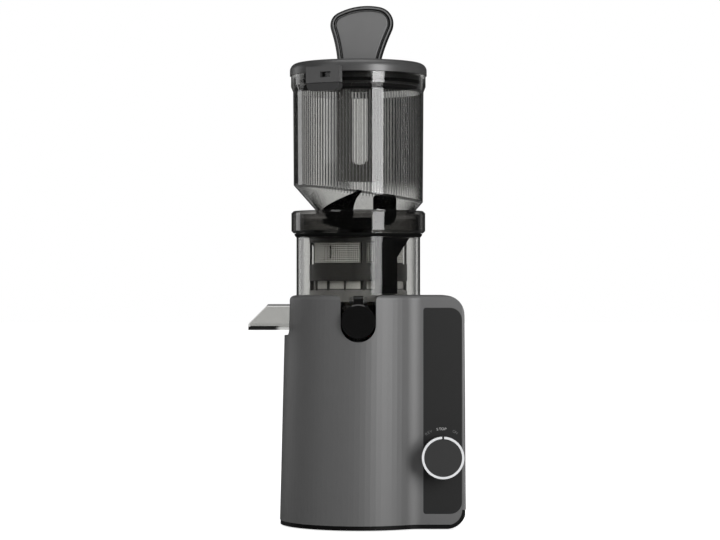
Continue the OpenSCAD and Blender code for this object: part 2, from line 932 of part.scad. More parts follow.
// two soft blades on the cage sweep the bowl wall: narrow below, and raked outwards at the top
module wiper_blades() {
    rake = [[15.5, 218], [36.3, 218], [36.3, 253], [47.6, 271], [15.5, 271]];
    color([0.05, 0.05, 0.05])
    for (turn = [0, 180]) rotate([0, 0, turn]) intersection() {
        rotate([0, 0, -75]) rotate_extrude(angle = 65)
            translate([cage_r, 219]) square([bowl_in - gap - cage_r - 0.6, 52]);
        from_front(-60, 0) polygon(rake);
    }
}

// ---------------------------------------------------------------- auger

// radius of the auger core at a height: it swells downwards and draws in above the pulp hole
function core_r(z) = z < 236 ? 17 + (z - strainer_floor) * 0.9 : 28.5 - (z - 236) * 0.27;

function flight_r(z) = z > 268 ? auger_r - (z - 268) * 0.14 : auger_r;

// cross sections of one helical flight, thick at the core and thin at the edge
function flight_rings(start, z0, z1, turns, n) =
    [for (i = [0:n]) let (
            z = z0 + (z1 - z0) * i / n,
            a = start + 360 * turns * i / n,
            r0 = core_r(z) - 2,
            r1 = flight_r(z))
        [for (p = [[r0, 3.4], [r1, 1.2], [r1, -1.2], [r0, -3.4]]) [p[0] * cos(a), p[0] * sin(a), z + p[1]]]];

module flight(start, z0, z1, turns) {
    rings = flight_rings(start, z0, z1, turns, 40);
    loft(rings);
}

module auger() {
    color([0.07, 0.07, 0.07])
    difference() {
        union() {
            rod(journal_r, journal_z, train_top);
            cone(17, 29.6, strainer_floor + gap, 236);
            cone(29.6, 15, 236, 290);
            rod(16.6, train_top, strainer_floor + gap);
            for (start = [20, 200]) flight(start, 228, 288, flight_turns);
            auger_head();
        }
        hexagon(hex_across + 5, journal_z - 1, bowl_floor + 4);
    }
}

// cutting fin on the left and a feed lug on the right, above the last flight
module auger_head() {
    from_front(-3.5, 3.5) polygon(concat(
        [[-5, 285], [-24, 285], [-30, 291], [-34, 297], [-33.5, 299.5]],
        bezier([-30, 302.5], [-17, 310], [-6, 314], 5), [[0.5, 317.6], [3.2, 316.8]],
        bezier([3.2, 315.4], [-3, 310], [-4.6, 300], 5)));
    from_front(-6, 6) polygon([[14, 284], [30, 284], [36, 290], [36, 310], [33, 312.5], [16, 312.5], [14, 310]]);
    rod(15, 284, 291);
}

module auger_gear() {
    color([0.85, 0.85, 0.83])
    difference() {
        gear(auger_teeth, brush_module, train_z, train_top);
        rod(journal_r, train_z - 1, train_top + 1);
    }
}

module auger_socket() {
    color([0.75, 0.75, 0.77])
    difference() {
        hexagon(hex_across + 5, journal_z, bowl_floor + 4);
        hexagon(hex_across + 0.8, journal_z - 1, bowl_floor + 1);
    }
}

module idler_gear() {
    color([0.85, 0.85, 0.83])
    translate([idler_distance, 0, 0]) difference() {
        rotate([0, 0, 180 / idler_teeth]) gear(idler_teeth, brush_module, train_z, train_top);
        rod(3 + fit, train_z - 1, train_top + 1);
    }
}

// ---------------------------------------------------------------- hopper

module hopper_outer() {
    intersection() {
        cone(61.3, hopper_r, neck_z, hopper_top);
        translate([funnel_x, 0, 0]) cone(neck_r, neck_r + 140 * funnel_slope, neck_z, neck_z + 140);
    }
    translate([funnel_x, 0, 0]) rod(neck_r, collar_z[1] - 3.5, neck_z + eps);
    rotate_extrude() polygon([[50, ring_low - ring_chamfer], [hopper_r - 0.1, ring_low - ring_chamfer],
        [ring_r, ring_low], [ring_r, hopper_top], [50, hopper_top]]);
}

// the bore is fluted from the funnel up to the smooth mouth
module fluted_bore() {
    translate([0, 0, neck_z]) linear_extrude(flute_top + 2 - neck_z) polygon(
        [for (i = [0:2 * flutes - 1]) let (r = bore_r - (i % 2) * flute_depth, a = 180 * i / flutes)
            [r * cos(a), r * sin(a)]]);
    rod(bore_r + 0.2, flute_top, hopper_top + 1);
}

module hopper_inner() {
    intersection() {
        fluted_bore();
        translate([funnel_x, 0, 0])
            cone(neck_r - funnel_wall, neck_r - funnel_wall + 140 * funnel_slope, neck_z, neck_z + 140);
    }
    translate([funnel_x, 0, 0]) rod(neck_r - funnel_wall, collar_z[1] - 10, neck_z + eps);
}

module hopper() {
    color([0.5, 0.5, 0.49, 0.5])
    difference() {
        hopper_outer();
        hopper_inner();
    }
}

module hopper_collar() {
    color([0.12, 0.12, 0.12, 0.8])
    difference() {
        rotate_extrude() polygon([
            [bowl_r + 0.6, collar_z[0]], [collar_r - 2.2, collar_z[0]], [collar_r, collar_z[0] + 2.2],
            [collar_r, collar_z[1] - 2], [collar_r - 2, collar_z[1]], [30, collar_z[1]],
            [30, collar_z[1] - 3.5], [bowl_r + 0.6, collar_z[1] - 3.5]]);
        translate([funnel_x, 0, 0]) rod(neck_r, collar_z[0], collar_z[1] + 1);
    }
}

module lid_catch() {
    color([0.15, 0.15, 0.16])
    difference() {
        rotate([0, 0, tab_angle]) translate([0, 0, catch_z]) from_side(58, 68.6) polygon(catch_outline());
        cone(61.3, hopper_r, neck_z, hopper_top);
        cone(hopper_r - 0.1, ring_r, ring_low - ring_chamfer, ring_low);
    }
}

// a flat outline in Y and Z, drawn out from x0 to x1
module from_side(x0, x1) {
    translate([x0, 0, 0]) rotate([90, 0, 90]) linear_extrude(x1 - x0) children();
}

function catch_outline() =
    let (half = 17, r = 6)
    concat(arc([half - r, r], r, -90, 0, 6), [[half, 7.2], [-half, 7.2]], arc([r - half, r], r, 180, 270, 6));

// ---------------------------------------------------------------- lid

module lid() {
    round_edge = arc([lid_r - lid_round, lid_z[1] - lid_round], lid_round, 0, 90, 10);
    color([0.28, 0.28, 0.28])
    difference() {
        union() {
            rotate_extrude() polygon(concat([[lid_r - 2.6, lid_z[0]], [lid_r, lid_z[0]]], round_edge,
                [[0, lid_z[1]], [0, lid_z[1] - 3], [skirt_r - 2, lid_z[1] - 3], [skirt_r - 2, ring_low],
                [skirt_r, ring_low], [skirt_r, lid_z[1] - 3], [lid_r - 3.4, lid_z[1] - 3], [lid_r - 2.6, lid_z[1] - 4]]));
            snap_tab();
        }
        translate([stem_x, 0, 0]) box([-stem_size.x / 2 - 0.8, -stem_size.y / 2 - 0.8, 400],
            [stem_size.x / 2 + 0.8, stem_size.y / 2 + 0.8, 450]);
    }
}

module snap_tab() {
    rotate([0, 0, tab_angle]) difference() {
        box([lid_r - 3, -17.5, tab_z[0]], [lid_r + 4, 17.5, tab_z[1]]);
        rod(ring_r + gap + 0.2, tab_z[0] - 1, lid_z[0]);
        rod(lid_r - 3, lid_z[0] - 1, lid_z[1]);
        box([50, -2.2, 419.4], [80, 8.8, 424.6]);
    }
}

module lid_gasket() {
    color([0.1, 0.1, 0.1]) tube(skirt_r + 0.5, skirt_r, 417, 420);
}

// ---------------------------------------------------------------- pusher

// outline of the paddle: two round shoulders, the left one lower, under one wide arc, drawn in to the neck
function paddle_outline() =
    let (right = [17.4, 476.2], left = [-13.6, 474.7], right_r = 16.1, left_r = 13, top_r = 62,
         across = right - left,
         to_left = top_r - left_r, to_right = top_r - right_r,
         turn = acos((to_left * to_left + across * across - to_right * to_right) / (2 * to_left * norm(across))),
         slope = atan2(across.y, across.x) - turn,
         top = left + to_left * [cos(slope), sin(slope)],
         left_turn = atan2(left.y - top.y, left.x - top.x),
         right_turn = atan2(right.y - top.y, right.x - top.x),
         neck = lid_z[1] + gap)
    concat(
        bezier([22, neck], [24.6, 449], right + right_r * [cos(-26), sin(-26)], 8),
        arc(right, right_r, -20, right_turn, 11),
        arc(top, top_r, right_turn + 5, left_turn - 5, 8),
        arc(left, left_r, left_turn, 196, 10),
        bezier(left + left_r * [cos(202), sin(202)], [-20.6, 453], [-19.6, neck], 8));

module pusher_handle() {
    color([0.42, 0.42, 0.42])
    difference() {
        from_front(-handle_half, handle_half) polygon(paddle_outline());
        for (side = [-1, 1]) from_front(side > 0 ? handle_half - 1.6 : -handle_half - 1,
            side > 0 ? handle_half + 1 : -handle_half + 1.6)
            offset(delta = -3.4) polygon(paddle_outline());
    }
}

module pusher_stem() {
    color([0.1, 0.1, 0.1])
    translate([stem_x, 0, 0]) difference() {
        box([-stem_size.x / 2, -stem_size.y / 2, stem_z[0]], [stem_size.x / 2, stem_size.y / 2, stem_z[1]]);
        from_front(-20, 20) {
            translate([0, slot_z[0] + slot_w / 2]) circle(slot_w / 2);
            translate([0, slot_z[1] - slot_w / 2]) circle(slot_w / 2);
            translate([-slot_w / 2, slot_z[0] + slot_w / 2]) square([slot_w, slot_z[1] - slot_z[0] - slot_w]);
        }
    }
}

// ---------------------------------------------------------------- assembly

housing();
base_cover();
feet();
control_fascia();
seat_deck();
shaft_seal();
motor_pad();
motor_end_cap();
motor_can();
stator_core();
stator_coils();
motor_bearings();
gearbox_case();
ring_gear();
gearbox_cover();
output_bush();
control_board();
board_standoffs();
rotary_switch();
reed_switch();
cord_gland();
screws();
rotor_core();
motor_shaft();
cooling_fan();
planet_carrier();
drive_shaft();
planet_gear_a();
planet_gear_b();
planet_gear_c();
juice_bowl();
bowl_base();
pulp_chute();
juice_spout();
bowl_bush();
idler_pin();
rim_seal();
strainer_frame();
strainer_mesh();
interlock_magnet();
idler_gear();
brush_cage();
brush_gear();
wiper_blades();
auger();
auger_gear();
auger_socket();
juice_cap();
cap_gasket();
cap_pin();
hopper();
hopper_collar();
lid_catch();
lid();
lid_gasket();
pusher_handle();
pusher_stem();
knob();
knob_ring();
knob_shaft();
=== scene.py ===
"""Looks of the cold press juicer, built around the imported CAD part.

The frame is in metres: the bowl axis is Z, the front faces -Y, the counter is at Z = 0.
Below, sizes are in millimetres and scaled by MM unless a comment says otherwise, angles are in
degrees, and tones are sRGB levels from 0 to 255.
"""

import json
import math

import bpy
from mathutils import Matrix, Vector


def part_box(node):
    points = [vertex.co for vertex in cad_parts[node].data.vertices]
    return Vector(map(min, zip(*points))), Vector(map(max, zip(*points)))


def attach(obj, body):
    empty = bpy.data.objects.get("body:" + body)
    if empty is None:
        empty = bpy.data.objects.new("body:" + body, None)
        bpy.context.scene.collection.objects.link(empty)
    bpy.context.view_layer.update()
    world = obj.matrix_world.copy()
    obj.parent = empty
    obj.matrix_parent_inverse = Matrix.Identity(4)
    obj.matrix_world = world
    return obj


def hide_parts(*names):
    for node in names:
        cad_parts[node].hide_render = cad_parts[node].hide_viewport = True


MM = 0.001

# parts of a unit normal: where a face looks up, looks to the front or back, or stands upright
UPWARD = (0.7, 0.95)
FACE_ON = (0.45, 0.92)
UPRIGHT = 0.1

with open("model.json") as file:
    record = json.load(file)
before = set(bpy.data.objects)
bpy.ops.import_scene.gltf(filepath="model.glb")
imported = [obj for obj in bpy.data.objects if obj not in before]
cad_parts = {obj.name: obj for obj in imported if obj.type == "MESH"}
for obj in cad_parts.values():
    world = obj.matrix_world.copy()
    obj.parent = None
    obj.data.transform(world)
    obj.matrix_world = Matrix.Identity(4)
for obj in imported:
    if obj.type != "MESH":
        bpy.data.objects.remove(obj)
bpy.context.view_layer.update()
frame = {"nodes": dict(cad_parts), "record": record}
NODES = frame["nodes"]
SLOT_OF = {s["node"]: s["material_slot"] for s in frame["record"]["subparts"]}


# ------------------------------------------------------------------ camera

CAMERA = {"lens": 121.05, "sensor": 36, "clip_m": 50,
          "place": (1.6, -2300, 227), "target": (1.6, 0, 241.3)}


def add_object(name, data):
    obj = bpy.data.objects.new(name, data)
    bpy.context.scene.collection.objects.link(obj)
    return obj


def aim(obj, target):
    """Turn a camera or a lamp to a point."""
    obj.rotation_euler = (target - obj.location).to_track_quat("-Z", "Y").to_euler()


def make_camera():
    """The main view: level with the bowl, from straight ahead."""
    data = bpy.data.cameras.new("camera")
    data.sensor_width, data.lens = CAMERA["sensor"], CAMERA["lens"]
    data.clip_end = CAMERA["clip_m"]
    camera = add_object("camera", data)
    camera.location = Vector(CAMERA["place"]) * MM
    aim(camera, Vector(CAMERA["target"]) * MM)
    bpy.context.scene.camera = camera


# ------------------------------------------------------------------ shader graphs

def linear(level):
    """Linear light for an sRGB level from 0 to 255."""
    c = level / 255
    return c / 12.92 if c <= 0.04045 else ((c + 0.055) / 1.055) ** 2.4


def tone(r, g=None, b=None):
    """An sRGB colour, or a grey from one level."""
    return (linear(r), linear(r if g is None else g), linear(r if b is None else b), 1)


def scaled(colour, factor):
    return tuple(min(1, c * factor) for c in colour[:3]) + (1,)


class Graph:
    """Short calls for the nodes of one tree. A value is a number, a colour or a node's output."""

    def __init__(self, tree):
        self.tree = tree

    def feed(self, socket, value):
        if isinstance(value, bpy.types.NodeSocket):
            self.tree.links.new(value, socket)
        else:
            socket.default_value = value

    def add(self, kind, inputs=None, **settings):
        node = self.tree.nodes.new(kind)
        for name, value in settings.items():
            setattr(node, name, value)
        for socket, value in (inputs or {}).items():
            self.feed(node.inputs[socket], value)
        return node

    def math(self, operation, a, b=0.0):
        return self.add("ShaderNodeMath", {0: a, 1: b}, operation=operation).outputs[0]

    def plus(self, a, b):
        return self.math("ADD", a, b)

    def minus(self, a, b):
        return self.math("SUBTRACT", a, b)

    def times(self, a, b):
        return self.math("MULTIPLY", a, b)

    def largest(self, a, b):
        return self.math("MAXIMUM", a, b)

    def above(self, a, b):
        return self.math("GREATER_THAN", a, b)

    def below(self, a, b):
        return self.math("LESS_THAN", a, b)

    def size(self, value):
        return self.math("ABSOLUTE", value)

    def near(self, value, target, width):
        return self.below(self.size(self.minus(value, target)), width)

    def inverse(self, mask):
        return self.minus(1.0, mask)

    def rising(self, value, start, end):
        """0 below start, 1 above end."""
        inputs = {"Value": value, "From Min": start, "From Max": end}
        node = self.add("ShaderNodeMapRange", inputs, interpolation_type="SMOOTHSTEP")
        return node.outputs["Result"]

    def between(self, factor, low, high):
        """A value that moves from low to high with the factor."""
        inputs = {"Value": factor, "To Min": low, "To Max": high}
        return self.add("ShaderNodeMapRange", inputs).outputs["Result"]

    def blend(self, factor, low, high):
        """A colour that moves from low to high with the factor."""
        inputs = {"Factor": factor, "A": low, "B": high}
        return self.add("ShaderNodeMix", inputs, data_type="RGBA").outputs["Result"]

    def split(self, vector):
        """X, Y and Z of a vector."""
        return tuple(self.add("ShaderNodeSeparateXYZ", {0: vector}).outputs)

    def coords(self, kind):
        """X, Y and Z of one of the texture coordinates."""
        return self.split(self.add("ShaderNodeTexCoord").outputs[kind])

    def geometry(self, output):
        return self.add("ShaderNodeNewGeometry").outputs[output]

    def reach(self, x, y, centre_x=0.0):
        """Distance from an upright axis."""
        off = self.minus(x, centre_x * MM)
        return self.math("SQRT", self.plus(self.times(off, off), self.times(y, y)))

    def noise(self, feature, detail=3.0, stretch=None):
        """Noise in object space whose features are about so many millimetres."""
        source = self.add("ShaderNodeTexCoord").outputs["Object"]
        if stretch:
            inputs = {"Vector": source, "Scale": stretch}
            source = self.add("ShaderNodeMapping", inputs).outputs["Vector"]
        inputs = {"Vector": source, "Scale": 1 / (feature * MM), "Detail": detail}
        return self.add("ShaderNodeTexNoise", inputs).outputs["Fac"]

    def upward(self):
        """1 on faces that look up."""
        return self.rising(self.coords("Normal")[2], *UPWARD)


def new_material(name):
    material = bpy.data.materials.new(name)
    material.use_nodes = True
    tree = material.node_tree
    return material, Graph(tree), tree.nodes["Principled BSDF"].inputs


# ------------------------------------------------------------------ solid plastics and metals

CLOUD = 14
GRAIN_DEPTH, GRAIN_DETAIL = 0.02, 2.0
ROUGH_SPREAD = 0.04


def moulded(name, colour, rough, spread=0.06, grain=0.35, strength=0.15, metallic=0.0,
            specular=0.5, top_rough=None, stretch=None):
    """Moulded or cast surface: a little cloudy in colour, with a fine grain."""
    material, graph, shader = new_material(name)
    dark, light = scaled(colour, 1 - spread), scaled(colour, 1 + spread)
    graph.feed(shader["Base Color"], graph.blend(graph.noise(CLOUD), dark, light))
    fine = graph.noise(grain, GRAIN_DETAIL, stretch)
    roughness = graph.between(fine, rough - ROUGH_SPREAD, rough + ROUGH_SPREAD)
    if top_rough:
        roughness = graph.largest(roughness, graph.times(graph.upward(), top_rough))
    graph.feed(shader["Roughness"], roughness)
    inputs = {"Strength": strength, "Distance": GRAIN_DEPTH * MM, "Height": fine}
    graph.feed(shader["Normal"], graph.add("ShaderNodeBump", inputs).outputs["Normal"])
    graph.feed(shader["Metallic"], metallic)
    graph.feed(shader["Specular IOR Level"], specular)
    return material


def recoloured(material, mask, other):
    """The material with another base colour where the mask, made for its graph, is 0."""
    graph = Graph(material.node_tree)
    base = material.node_tree.nodes["Principled BSDF"].inputs["Base Color"]
    graph.feed(base, graph.blend(mask(graph), other, base.links[0].from_socket))
    return material


def painted_side_shade(name, front, side, rough):
    """Moulded, with painted shade where the surface turns away from the front and back."""
    return recoloured(moulded(name, front, rough),
                      lambda graph: graph.rising(graph.size(graph.coords("Normal")[1]), *FACE_ON),
                      side)


def two_tone(name, upper, lower, height, rough):
    """Moulded on top, with another colour below a height."""
    return recoloured(moulded(name, upper, rough),
                      lambda graph: graph.above(graph.coords("Object")[2], height * MM), lower)


# ------------------------------------------------------------------ clear plastics

CLEAR_IOR = 1.025
COAT_ROUGH = 0.05
COAT_UPWARD = 0.15
COAT_BORE = 0.1
CLEAR_CLOUD = {"size": 30, "dark": 0.985}
CLEAR_GRAIN = {"size": 3, "rough": 0.02}
# Hopper: painted dark lines on the flute ridges stand in for the light the flutes bend; painted
# shade lines mark where the funnel meets the wall and the flange's lower edge.
HOPPER_EDGE_SHADE = 0.9

FLUTES = {"count": 120, "r": (58.5, 59.6), "line": (0.08, 0.22), "cloudy": 0.6,
          "colour": tone(128)}
FUNNEL = {"x": 7, "neck_r": 47.5, "neck_z": 297.8, "slope": 0.88, "wall_r": 60.2, "line": 0.8}
MOUTH = {"z": 408.6, "dark": 0.4}
RING_LINE = {"z": 410.2, "r": 61.0, "line": 1.0}
# painted shade along the chute's lower lip and top edge
CHUTE_LIP = {"high": 3.1, "from": (24, 30), "dark": 0.97}
CHUTE_TOP = {"low": 22.7, "dark": 0.8}


def hopper_masks(graph):
    """Masks of painted dark lines on the hopper's upright ridges, of its whole bore, and of
    painted shade lines where the funnel meets the wall and along the flange's lower edge, with a
    darker band above the mouth.
    """
    x, y, z = graph.coords("Object")
    r = graph.reach(x, y)
    inner, outer = FLUTES["r"]
    bore = graph.near(r, (inner + outer) / 2 * MM, (outer - inner) / 2 * MM)
    turns = graph.times(graph.math("ARCTAN2", y, x), FLUTES["count"] / (2 * math.pi))
    off = graph.size(graph.minus(graph.math("FRACT", turns), 0.5))
    line = graph.inverse(graph.rising(off, *FLUTES["line"]))
    upright = graph.near(graph.coords("Normal")[2], 0.0, UPRIGHT)
    ridges = graph.times(graph.times(line, upright), bore)

    rise = graph.minus(z, FUNNEL["neck_z"] * MM)
    cone = graph.plus(graph.times(rise, FUNNEL["slope"]), FUNNEL["neck_r"] * MM)
    off_cone = graph.minus(graph.reach(x, y, FUNNEL["x"]), cone)
    junction = graph.times(graph.near(off_cone, 0.0, FUNNEL["line"] * MM),
                           graph.above(r, FUNNEL["wall_r"] * MM))
    ring = graph.times(graph.near(z, RING_LINE["z"] * MM, RING_LINE["line"] * MM),
                       graph.above(r, RING_LINE["r"] * MM))
    edge_shade = graph.times(graph.largest(junction, ring), graph.inverse(graph.geometry("Backfacing")))
    mouth = graph.times(graph.above(z, MOUTH["z"] * MM), MOUTH["dark"])
    return ridges, bore, graph.largest(edge_shade, mouth)


def chute_edge_shade(graph):
    """Mask of painted shade along the chute's lower lip near its mouth and along its top edge."""
    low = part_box("pulp_chute")[0]
    x, _, z = graph.coords("Object")
    mouth = graph.inverse(graph.rising(x, *(low.x + d * MM for d in CHUTE_LIP["from"])))
    lip = graph.times(graph.below(z, low.z + CHUTE_LIP["high"] * MM), mouth)
    top = graph.above(z, low.z + CHUTE_TOP["low"] * MM)
    return graph.largest(graph.times(lip, CHUTE_LIP["dark"]), graph.times(top, CHUTE_TOP["dark"]))


def see_through(name, face, edge, rough, graze, coat_ior=1.5, hopper=False, chute=False):
    """Clear or smoky plastic: little bend, with painted shade where the eye grazes the wall,
    glossy on top.
    """
    material, graph, shader = new_material(name)
    facing = graph.add("ShaderNodeLayerWeight", {"Blend": 0.5}).outputs["Facing"]
    # painted shade: the base colour turns to the second colour where the eye grazes the wall
    dark = graph.rising(facing, *graze)
    coat = graph.between(graph.upward(), 1.0, COAT_UPWARD)
    clouds = graph.noise(CLEAR_CLOUD["size"])
    colour = graph.blend(clouds, scaled(face, CLEAR_CLOUD["dark"]), face)
    clear = 1.0
    if chute:
        dark = graph.largest(dark, chute_edge_shade(graph))
    if hopper:
        ridges, bore, edge_shade = hopper_masks(graph)
        dark = graph.largest(dark, graph.times(edge_shade, HOPPER_EDGE_SHADE))
        coat = graph.times(coat, graph.between(bore, 1.0, COAT_BORE))
        # painted dark lines on the flute ridges, which also let less light through
        colour = graph.blend(ridges, colour, FLUTES["colour"])
        clear = graph.between(ridges, 1.0, 1 - FLUTES["cloudy"])
    graph.feed(shader["Base Color"], graph.blend(dark, colour, edge))
    fine = graph.noise(CLEAR_GRAIN["size"])
    graph.feed(shader["Roughness"], graph.between(fine, rough, rough + CLEAR_GRAIN["rough"]))
    graph.feed(shader["Transmission Weight"], clear)
    graph.feed(shader["IOR"], CLEAR_IOR)
    graph.feed(shader["Coat Weight"], coat)
    graph.feed(shader["Coat IOR"], coat_ior)
    graph.feed(shader["Coat Roughness"], COAT_ROUGH)
    return material


# ------------------------------------------------------------------ material library

HUB_TOP, CAGE_FOOT = 222.8, 222.05
# the second colour is the painted shade of clear walls where the eye grazes them
HUB_GREY, CLEAR_GRAZE_SHADE = tone(128, 127, 125), tone(3)

# name: maker, its colours and roughness, and what else differs from its defaults
LIBRARY = {
    "satin_grey": (moulded, (tone(115), 0.5),
                   {"spread": 0.02, "grain": 0.25, "strength": 0.08, "metallic": 0.5}),
    "black_moulding": (moulded, (tone(9), 0.5), {"specular": 0.2}),
    "black_rubber": (moulded, (tone(20), 0.8), {}),
    "fascia_black": (moulded, (tone(30), 0.45), {"spread": 0.02, "grain": 0.3, "strength": 0.05}),
    "dark_moulding": (moulded, (tone(45), 0.5), {}),
    "seal_rubber": (moulded, (tone(135, 48, 38), 0.6), {}),
    "cast_aluminium": (moulded, (tone(200), 0.45), {"metallic": 1, "strength": 0.4}),
    "zinc_steel": (moulded, (tone(185), 0.35), {"metallic": 1}),
    "lamination_steel": (moulded, (tone(140), 0.5), {"metallic": 1, "stretch": (0.05, 0.05, 1)}),
    "copper_coil": (moulded, (tone(190, 110, 60), 0.35), {"metallic": 1}),
    "bearing_bronze": (moulded, (tone(190, 150, 90), 0.45), {"metallic": 1}),
    "gear_plastic": (moulded, (tone(215, 210, 195), 0.45), {}),
    "board_green": (moulded, (tone(30, 90, 50), 0.4), {}),
    "screw_steel": (moulded, (tone(200), 0.3), {"metallic": 1}),
    "smoky_clear": (see_through, (tone(216, 216, 214), CLEAR_GRAZE_SHADE, 0.02, (0.56, 0.8)),
                    {"coat_ior": 1.34}),
    "hopper_clear": (see_through, (tone(215, 215, 213), tone(8), 0.02, (0.35, 0.98)),
                     {"coat_ior": 1.6, "hopper": True}),
    "smoky_dark": (see_through, (tone(142, 141, 139), CLEAR_GRAZE_SHADE, 0.03, (0.25, 0.85)), {}),
    "chute_clear": (see_through, (tone(211, 211, 209), CLEAR_GRAZE_SHADE, 0.02, (0.25, 0.85)),
                    {"chute": True}),
    "black_silicone": (moulded, (tone(12), 0.6), {"specular": 0.08}),
    "strainer_plastic": (two_tone, (tone(48, 46, 43), HUB_GREY, HUB_TOP, 0.45), {}),
    "strainer_steel": (moulded, (tone(215, 213, 208), 0.5), {"metallic": 0.3}),
    "brush_plastic": (two_tone, (tone(55, 53, 51), HUB_GREY, CAGE_FOOT, 0.45), {}),
    "auger_plastic": (moulded, (tone(10), 0.25), {"strength": 0.03, "specular": 0.25}),
    "cap_black": (moulded, (tone(14), 0.15), {"strength": 0.03}),
    "lid_grey": (moulded, (tone(99), 0.36),
                 {"strength": 0.03, "metallic": 0.55, "top_rough": 0.6}),
    "catch_grey": (moulded, (tone(50), 0.35), {}),
    # painted shade on the handle's rim and groove, where its faces turn sideways
    "handle_grey": (painted_side_shade, (tone(109), tone(10), 0.42), {}),
    "stem_black": (moulded, (tone(74, 73, 71), 0.4), {}),
    "knob_black": (moulded, (tone(46), 0.45), {}),
    "label_bright": (moulded, (tone(190), 0.6), {"strength": 0.0}),
    "label_dim": (moulded, (tone(105), 0.6), {"strength": 0.0}),
    "knob_chrome": (moulded, (tone(228, 229, 231), 0.25),
                    {"spread": 0.01, "metallic": 0.1, "strength": 0.0}),
}

# nodes whose look isn't that of their slot
OWN_LOOK = {"hopper": "hopper_clear", "pulp_chute": "chute_clear", "lid_catch": "catch_grey"}


def finish_with(obj, material):
    """Give an object one material."""
    obj.data.materials.clear()
    obj.data.materials.append(material)


# ------------------------------------------------------------------ mesh helpers

def new_piece(name, points, faces, material, body, smooth=True):
    """A mesh piece from points in millimetres. It rides on a CAD body."""
    mesh = bpy.data.meshes.new(name)
    mesh.from_pydata([tuple(c * MM for c in p) for p in points], [], faces)
    piece = add_object(name, mesh)
    if smooth:
        mesh.polygons.foreach_set("use_smooth", [True] * len(mesh.polygons))
    mesh.update()
    finish_with(piece, MATERIALS[material])
    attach(piece, body)
    return piece


def arc(centre, r, start, end, steps):
    """Points of an arc in X and Z; angles from +X."""
    angles = [math.radians(start + (end - start) * i / steps) for i in range(steps + 1)]
    return [(centre[0] + r * math.cos(a), centre[1] + r * math.sin(a)) for a in angles]


def bezier(p, q, r, steps):
    """Points of the curve from p to r that is pulled towards q."""
    ts = [i / steps for i in range(steps + 1)]
    return [tuple((1 - t) ** 2 * a + 2 * t * (1 - t) * b + t * t * c for a, b, c in zip(p, q, r))
            for t in ts]


# ------------------------------------------------------------------ pusher paddle

# A paddle in X and Z: a shoulder on each side, a wide arc over both, and a waisted neck.
NECK_Z = 437.4
PADDLE_RIGHT = {"centre": (17.4, 475.2), "r": 16.1, "from": -30, "steps": 36,
                "neck_x": 21.2, "pull": (23.4, 449)}
PADDLE_LEFT = {"centre": (-13.6, 473.7), "r": 13.0, "to": 202, "steps": 30,
               "neck_x": -19.6, "pull": (-20.6, 453)}
PADDLE_TOP = {"r": 62.0, "steps": 30}
NECK_STEPS = 16
SMOOTHING = 6

# distance in from the outline, and half thickness there: rounded rim, bead, groove, flat
PADDLE_RIM = [(0, 2.4), (0.1, 3.4), (0.35, 4.4), (0.8, 5.3), (1.3, 6.1), (1.8, 6.9), (2.2, 7.35),
              (2.7, 7.5), (3.2, 7.3), (3.55, 6.4), (3.9, 4.8), (4.3, 3.6), (4.7, 3.3), (5.1, 3.8),
              (5.4, 4.6), (5.8, 5.1), (6.6, 5.3)]


def paddle_outline():
    """The paddle from the right side of its neck over both shoulders to the left side."""
    right, left = Vector(PADDLE_RIGHT["centre"]), Vector(PADDLE_LEFT["centre"])
    across = right - left
    to_left = PADDLE_TOP["r"] - PADDLE_LEFT["r"]
    to_right = PADDLE_TOP["r"] - PADDLE_RIGHT["r"]
    turn = math.acos((to_left ** 2 + across.length_squared - to_right ** 2)
                     / (2 * to_left * across.length))
    slope = math.atan2(across.y, across.x) - turn
    top = left + to_left * Vector((math.cos(slope), math.sin(slope)))
    end_left = math.degrees(math.atan2(left.y - top.y, left.x - top.x))
    end_right = math.degrees(math.atan2(right.y - top.y, right.x - top.x))
    up = arc(right, PADDLE_RIGHT["r"], PADDLE_RIGHT["from"], end_right, PADDLE_RIGHT["steps"])
    over = arc(top, PADDLE_TOP["r"], end_right, end_left, PADDLE_TOP["steps"])
    down = arc(left, PADDLE_LEFT["r"], end_left, PADDLE_LEFT["to"], PADDLE_LEFT["steps"])
    shoulders = up + over[1:] + down[1:]
    foot_right, foot_left = (PADDLE_RIGHT["neck_x"], NECK_Z), (PADDLE_LEFT["neck_x"], NECK_Z)
    return (bezier(foot_right, PADDLE_RIGHT["pull"], shoulders[0], NECK_STEPS)[:-1] + shoulders
            + bezier(shoulders[-1], PADDLE_LEFT["pull"], foot_left, NECK_STEPS)[1:])


def smoothed(outline, rounds):
    """The outline with its corners eased; its two ends stay."""
    for _ in range(rounds):
        inner = [tuple((a + 2 * b + c) / 4 for a, b, c in zip(*three))
                 for three in zip(outline, outline[1:], outline[2:])]
        outline = [outline[0]] + inner + [outline[-1]]
    return outline


def inset_outline(outline, distance):
    """The outline moved inwards; its two ends stay at the height of the neck."""
    moved = []
    last = len(outline) - 1
    for i, (x, z) in enumerate(outline):
        (ax, az), (bx, bz) = outline[max(i - 1, 0)], outline[min(i + 1, last)]
        length = math.hypot(bx - ax, bz - az)
        nx, nz = -(bz - az) / length, (bx - ax) / length
        if i in (0, last):
            moved.append((x + distance / nx, z))
        else:
            moved.append((x + nx * distance, z + nz * distance))
    return moved


